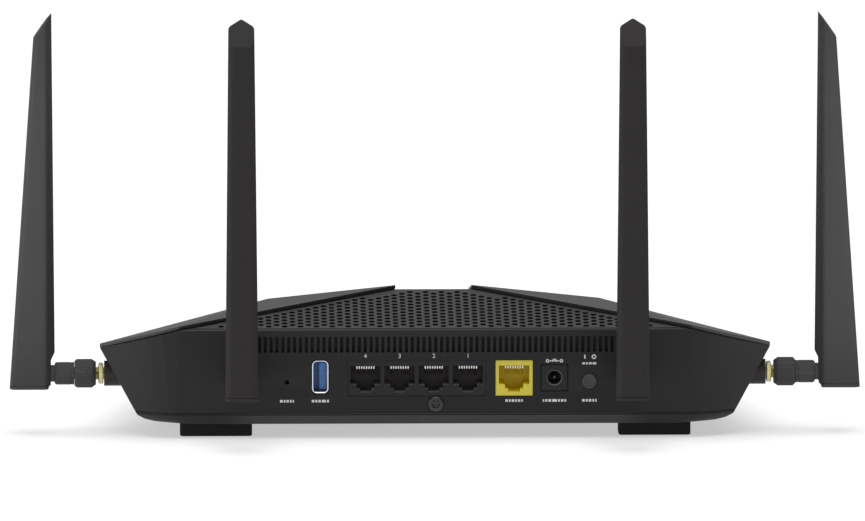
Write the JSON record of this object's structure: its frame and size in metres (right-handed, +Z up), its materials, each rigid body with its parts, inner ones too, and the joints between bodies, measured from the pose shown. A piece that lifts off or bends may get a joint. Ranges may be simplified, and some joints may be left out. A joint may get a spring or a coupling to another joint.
{
  "type": "wireless router",
  "caption": "Low, wide wireless router with faceted wing covers, perforated grilles, a rear port panel and four blade antennas that swivel and fold.",
  "frame": {"origin": "on the surface it stands on, under the middle of its own box at rest", "axes": "+Z up; the port side faces -Y and the light strip is towards +Y; +X is to the right of someone facing the ports"},
  "size_m": [0.3576, 0.2296, 0.1807],
  "materials": {
    "housing": "satin black moulded plastic, finely textured",
    "wing": "satin black plastic, smoother than the housing",
    "grille": "satin black plastic with fine perforation",
    "gloss": "piano black",
    "antenna": "satin black plastic",
    "rubber": "matt black rubber",
    "brass": "pale plated brass",
    "steel": "bright nickel plate",
    "dark_steel": "blackened screw steel",
    "tin": "tin plate",
    "jack_black": "black port moulding",
    "jack_yellow": "yellow port moulding",
    "usb_blue": "blue port moulding",
    "board": "green solder mask",
    "aluminium": "extruded aluminium",
    "pad": "soft grey thermal pad",
    "clear": "clear light-pipe plastic",
    "lead": "grey coaxial lead"
  },
  "bodies": {
    "root": {"bottom_cover": "housing", "cpu_shield": "tin", "dc_jack": "jack_black", "dc_jack_pin": "steel", "front_grille": "grille", "heat_sink": "aluminium", "lan_jack_block": "jack_black", "led_bezel": "gloss", "left_front_foot": "rubber", "left_front_screw": "dark_steel", "left_radio_shield": "tin", "left_rear_foot": "rubber", "left_rear_screw": "dark_steel", "left_wing_cover": "wing", "light_pipe": "clear", "main_board": "board", "main_housing": "housing", "power_switch_body": "jack_black", "rear_grille": "grille", "rear_left_connector": "brass", "rear_left_lead": "lead", "rear_right_connector": "brass", "rear_right_lead": "lead", "rear_screw": "dark_steel", "reset_switch_body": "jack_black", "right_front_foot": "rubber", "right_front_screw": "dark_steel", "right_radio_shield": "tin", "right_rear_foot": "rubber", "right_rear_screw": "dark_steel", "right_wing_cover": "wing", "side_left_connector": "brass", "side_left_lead": "lead", "side_right_connector": "brass", "side_right_lead": "lead", "thermal_pad": "pad", "usb_shell": "steel", "usb_tongue": "usb_blue", "wan_jack": "jack_yellow"},
    "rear_left_nut": {"rear_left_nut": "antenna"},
    "rear_left_barrel": {"rear_left_barrel": "antenna"},
    "rear_left_antenna": {"rear_left_blade": "antenna", "rear_left_hinge_pin": "dark_steel"},
    "rear_right_nut": {"rear_right_nut": "antenna"},
    "rear_right_barrel": {"rear_right_barrel": "antenna"},
    "rear_right_antenna": {"rear_right_blade": "antenna", "rear_right_hinge_pin": "dark_steel"},
    "side_left_nut": {"side_left_nut": "antenna"},
    "side_left_barrel": {"side_left_barrel": "antenna"},
    "side_left_antenna": {"side_left_blade": "antenna", "side_left_hinge_pin": "dark_steel"},
    "side_right_nut": {"side_right_nut": "antenna"},
    "side_right_barrel": {"side_right_barrel": "antenna"},
    "side_right_antenna": {"side_right_blade": "antenna", "side_right_hinge_pin": "dark_steel"},
    "power_button": {"power_button": "housing"},
    "reset_plunger": {"reset_plunger": "housing"},
    "wifi_button": {"wifi_button": "gloss"},
    "wps_button": {"wps_button": "gloss"}
  },
  "joints": [
    {"name": "rear_left_nut_spin", "type": "hinge", "parent": "root", "child": "rear_left_nut", "pos_m": [-0.08175, -0.08317, 0.0279], "axis": [0, -1, 0], "continuous": true},
    {"name": "rear_left_swivel", "type": "hinge", "parent": "root", "child": "rear_left_barrel", "pos_m": [-0.08175, -0.09118, 0.0279], "axis": [0, 1, 0], "range_deg": [-90, 90]},
    {"name": "rear_left_fold", "type": "hinge", "parent": "rear_left_barrel", "child": "rear_left_antenna", "pos_m": [-0.08175, -0.10347, 0.0279], "axis": [1, 0, 0], "range_deg": [0, 90]},
    {"name": "rear_right_nut_spin", "type": "hinge", "parent": "root", "child": "rear_right_nut", "pos_m": [0.08175, -0.08317, 0.0279], "axis": [0, -1, 0], "continuous": true},
    {"name": "rear_right_swivel", "type": "hinge", "parent": "root", "child": "rear_right_barrel", "pos_m": [0.08175, -0.09118, 0.0279], "axis": [0, 1, 0], "range_deg": [-90, 90]},
    {"name": "rear_right_fold", "type": "hinge", "parent": "rear_right_barrel", "child": "rear_right_antenna", "pos_m": [0.08175, -0.10347, 0.0279], "axis": [1, 0, 0], "range_deg": [0, 90]},
    {"name": "side_left_nut_spin", "type": "hinge", "parent": "root", "child": "side_left_nut", "pos_m": [-0.1472, -0.05217, 0.0252], "axis": [-1, 0, 0], "continuous": true},
    {"name": "side_left_swivel", "type": "hinge", "parent": "root", "child": "side_left_barrel", "pos_m": [-0.1552, -0.05217, 0.0252], "axis": [1, 0, 0], "range_deg": [-90, 90]},
    {"name": "side_left_fold", "type": "hinge", "parent": "side_left_barrel", "child": "side_left_antenna", "pos_m": [-0.1675, -0.05217, 0.0252], "axis": [0, -1, 0], "range_deg": [0, 90]},
    {"name": "side_right_nut_spin", "type": "hinge", "parent": "root", "child": "side_right_nut", "pos_m": [0.1472, -0.05217, 0.0252], "axis": [1, 0, 0], "continuous": true},
    {"name": "side_right_swivel", "type": "hinge", "parent": "root", "child": "side_right_barrel", "pos_m": [0.1552, -0.05217, 0.0252], "axis": [1, 0, 0], "range_deg": [-90, 90]},
    {"name": "side_right_fold", "type": "hinge", "parent": "side_right_barrel", "child": "side_right_antenna", "pos_m": [0.1675, -0.05217, 0.0252], "axis": [0, 1, 0], "range_deg": [0, 90]},
    {"name": "power_button_press", "type": "slide", "parent": "root", "child": "power_button", "axis": [0, 1, 0], "range_m": [0, 0.0015], "stiffness_N_per_m": 800},
    {"name": "reset_plunger_press", "type": "slide", "parent": "root", "child": "reset_plunger", "axis": [0, 1, 0], "range_m": [0, 0.0005], "stiffness_N_per_m": 800},
    {"name": "wifi_button_press", "type": "slide", "parent": "root", "child": "wifi_button", "axis": [0, -0.2884, -0.9575], "range_m": [0, 0.0006], "stiffness_N_per_m": 800},
    {"name": "wps_button_press", "type": "slide", "parent": "root", "child": "wps_button", "axis": [0, -0.2884, -0.9575], "range_m": [0, 0.0006], "stiffness_N_per_m": 800}
  ]
}
